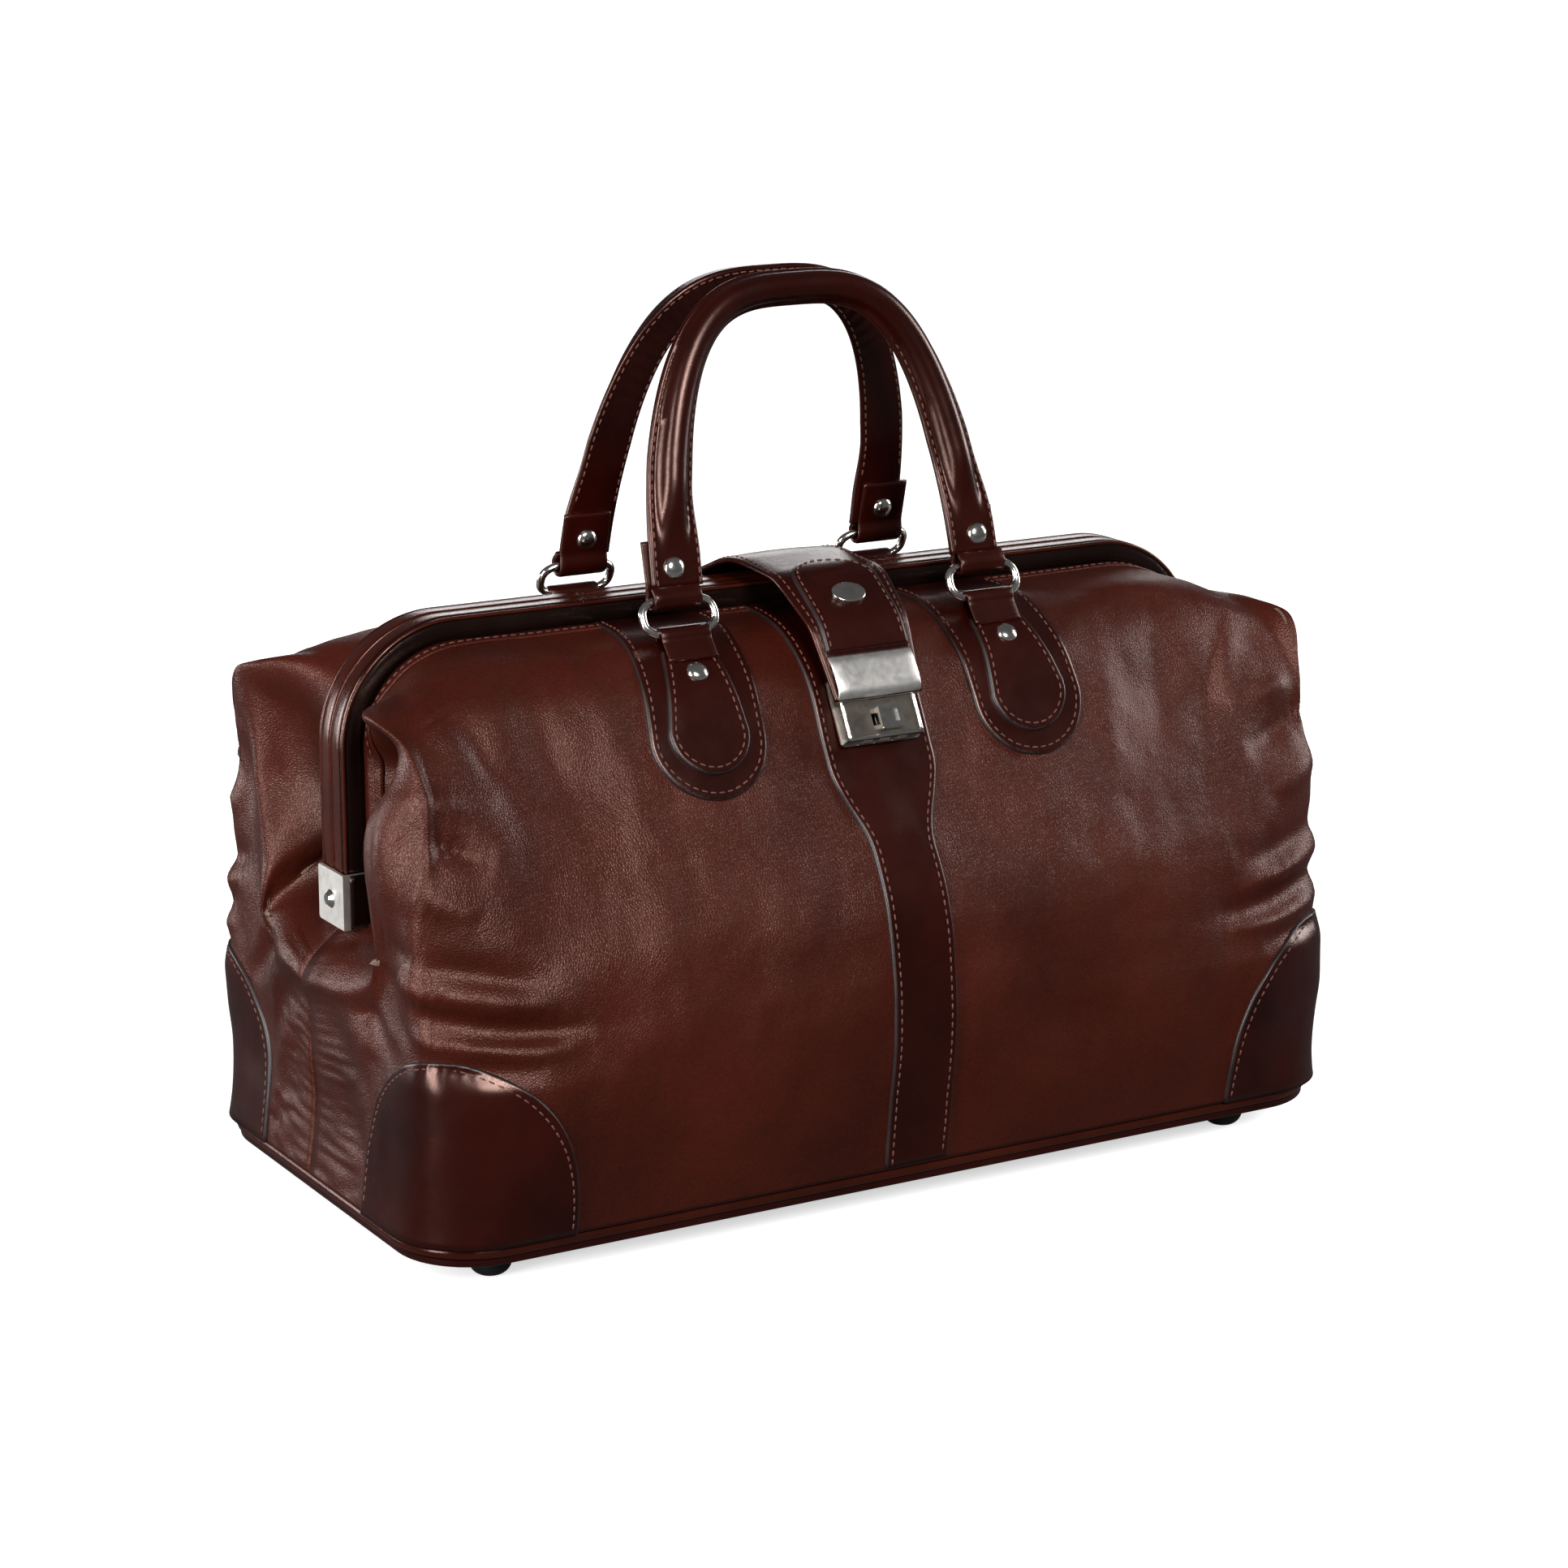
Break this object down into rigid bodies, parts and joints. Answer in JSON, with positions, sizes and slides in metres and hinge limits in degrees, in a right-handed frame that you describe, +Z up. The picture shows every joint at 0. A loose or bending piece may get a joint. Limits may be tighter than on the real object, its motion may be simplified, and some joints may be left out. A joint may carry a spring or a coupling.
{
  "type": "doctor bag",
  "caption": "Soft leather frame-top bag on a flat footed base, with a hinged two-part frame, rolled handles on rings, and a strap that closes over a lock.",
  "frame": {"origin": "on the floor, under the middle of the base", "axes": "+X along the bag, -Y to its front with the lock, +Z up"},
  "size_m": [0.496, 0.273, 0.4181],
  "materials": {
    "grained_leather": "soft dark reddish brown leather with a fine pebble grain and a low sheen",
    "smooth_leather": "smooth polished dark brown leather, stitched at its edges",
    "nickel": "bright nickel plating",
    "frame_steel": "plain steel",
    "lining_cloth": "brown woven cotton lining",
    "stiff_board": "pressed fibre board",
    "rope_core": "twisted cotton rope",
    "foot_plastic": "black moulded rubber, slightly glossy"
  },
  "bodies": {
    "bag_body": {"base_panel": "smooth_leather", "base_board": "stiff_board", "base_piping": "smooth_leather", "feet": "foot_plastic", "foot_screws": "frame_steel", "front_panel_lower": "grained_leather", "back_panel_lower": "grained_leather", "lower_lining": "lining_cloth", "corner_patch_front_left": "smooth_leather", "corner_patch_front_right": "smooth_leather", "corner_patch_back_left": "smooth_leather", "corner_patch_back_right": "smooth_leather", "front_band_lower": "smooth_leather", "back_band_lower": "smooth_leather", "end_fold_left": "grained_leather", "end_fold_right": "grained_leather", "hinge_pins": "nickel"},
    "front_frame": {"front_frame_steel": "frame_steel", "front_frame_wrap": "smooth_leather", "front_panel_upper": "grained_leather", "front_lining": "lining_cloth", "front_band_upper": "smooth_leather", "hinge_plate_left": "nickel", "hinge_plate_right": "nickel", "front_tab_backings": "smooth_leather", "front_tab_left": "smooth_leather", "front_tab_right": "smooth_leather", "front_tab_rivets": "nickel", "lock_plate": "nickel", "lock_cover": "nickel", "wheel_axle": "frame_steel"},
    "back_frame": {"back_frame_steel": "frame_steel", "back_frame_wrap": "smooth_leather", "back_panel_upper": "grained_leather", "back_lining": "lining_cloth", "back_band_upper": "smooth_leather", "back_tab_backings": "smooth_leather", "back_tab_left": "smooth_leather", "back_tab_right": "smooth_leather", "back_tab_rivets": "nickel", "strap_base": "smooth_leather"},
    "front_rings": {"front_ring_left": "nickel", "front_ring_right": "nickel"},
    "back_rings": {"back_ring_left": "nickel", "back_ring_right": "nickel"},
    "front_handle_body": {"front_handle": "smooth_leather", "front_handle_core": "rope_core", "front_handle_rivets": "nickel"},
    "back_handle_body": {"back_handle": "smooth_leather", "back_handle_core": "rope_core", "back_handle_rivets": "nickel"},
    "strap": {"strap_flap": "smooth_leather", "strap_tongue": "smooth_leather", "strap_plaque": "nickel", "hasp": "nickel", "hasp_catch": "frame_steel"},
    "button": {"lock_button": "nickel"},
    "wheel_left": {"number_wheel_left": "nickel"},
    "wheel_middle": {"number_wheel_middle": "nickel"},
    "wheel_right": {"number_wheel_right": "nickel"}
  },
  "joints": [
    {"name": "front_frame_open", "type": "hinge", "parent": "bag_body", "child": "front_frame", "pos_m": [0, 0, 0.1526], "axis": [1, 0, 0], "range_deg": [0, 40]},
    {"name": "back_frame_open", "type": "hinge", "parent": "bag_body", "child": "back_frame", "pos_m": [0, 0, 0.1526], "axis": [-1, 0, 0], "range_deg": [0, 40]},
    {"name": "front_ring_swing", "type": "hinge", "parent": "front_frame", "child": "front_rings", "pos_m": [0, -0.0535, 0.2658], "axis": [1, 0, 0], "range_deg": [0, 60]},
    {"name": "back_ring_swing", "type": "hinge", "parent": "back_frame", "child": "back_rings", "pos_m": [0, 0.0535, 0.2658], "axis": [-1, 0, 0], "range_deg": [0, 60]},
    {"name": "front_handle_swing", "type": "hinge", "parent": "front_rings", "child": "front_handle_body", "pos_m": [0, -0.04605, 0.28108], "axis": [1, 0, 0], "range_deg": [0, 70]},
    {"name": "back_handle_swing", "type": "hinge", "parent": "back_rings", "child": "back_handle_body", "pos_m": [0, 0.04605, 0.28108], "axis": [-1, 0, 0], "range_deg": [0, 70]},
    {"name": "strap_lift", "type": "hinge", "parent": "back_frame", "child": "strap", "pos_m": [0, 0.027, 0.2761], "axis": [-1, 0, 0], "range_deg": [0, 140]},
    {"name": "button_slide", "type": "slide", "parent": "front_frame", "child": "button", "axis": [-1, 0, 0], "range_m": [0, 0.005], "stiffness_N_per_m": 300},
    {"name": "number_wheel_left_turn", "type": "hinge", "parent": "front_frame", "child": "wheel_left", "pos_m": [0, -0.09269, 0.21793], "axis": [1, 0, 0], "continuous": true},
    {"name": "number_wheel_middle_turn", "type": "hinge", "parent": "front_frame", "child": "wheel_middle", "pos_m": [0, -0.09269, 0.21793], "axis": [1, 0, 0], "continuous": true},
    {"name": "number_wheel_right_turn", "type": "hinge", "parent": "front_frame", "child": "wheel_right", "pos_m": [0, -0.09269, 0.21793], "axis": [1, 0, 0], "continuous": true}
  ],
  "couplings": [
    {"joint": "back_frame_open", "follows": "front_frame_open", "ratio": 1},
    {"joint": "strap_lift", "follows": "front_frame_open", "ratio": 3.5}
  ]
}
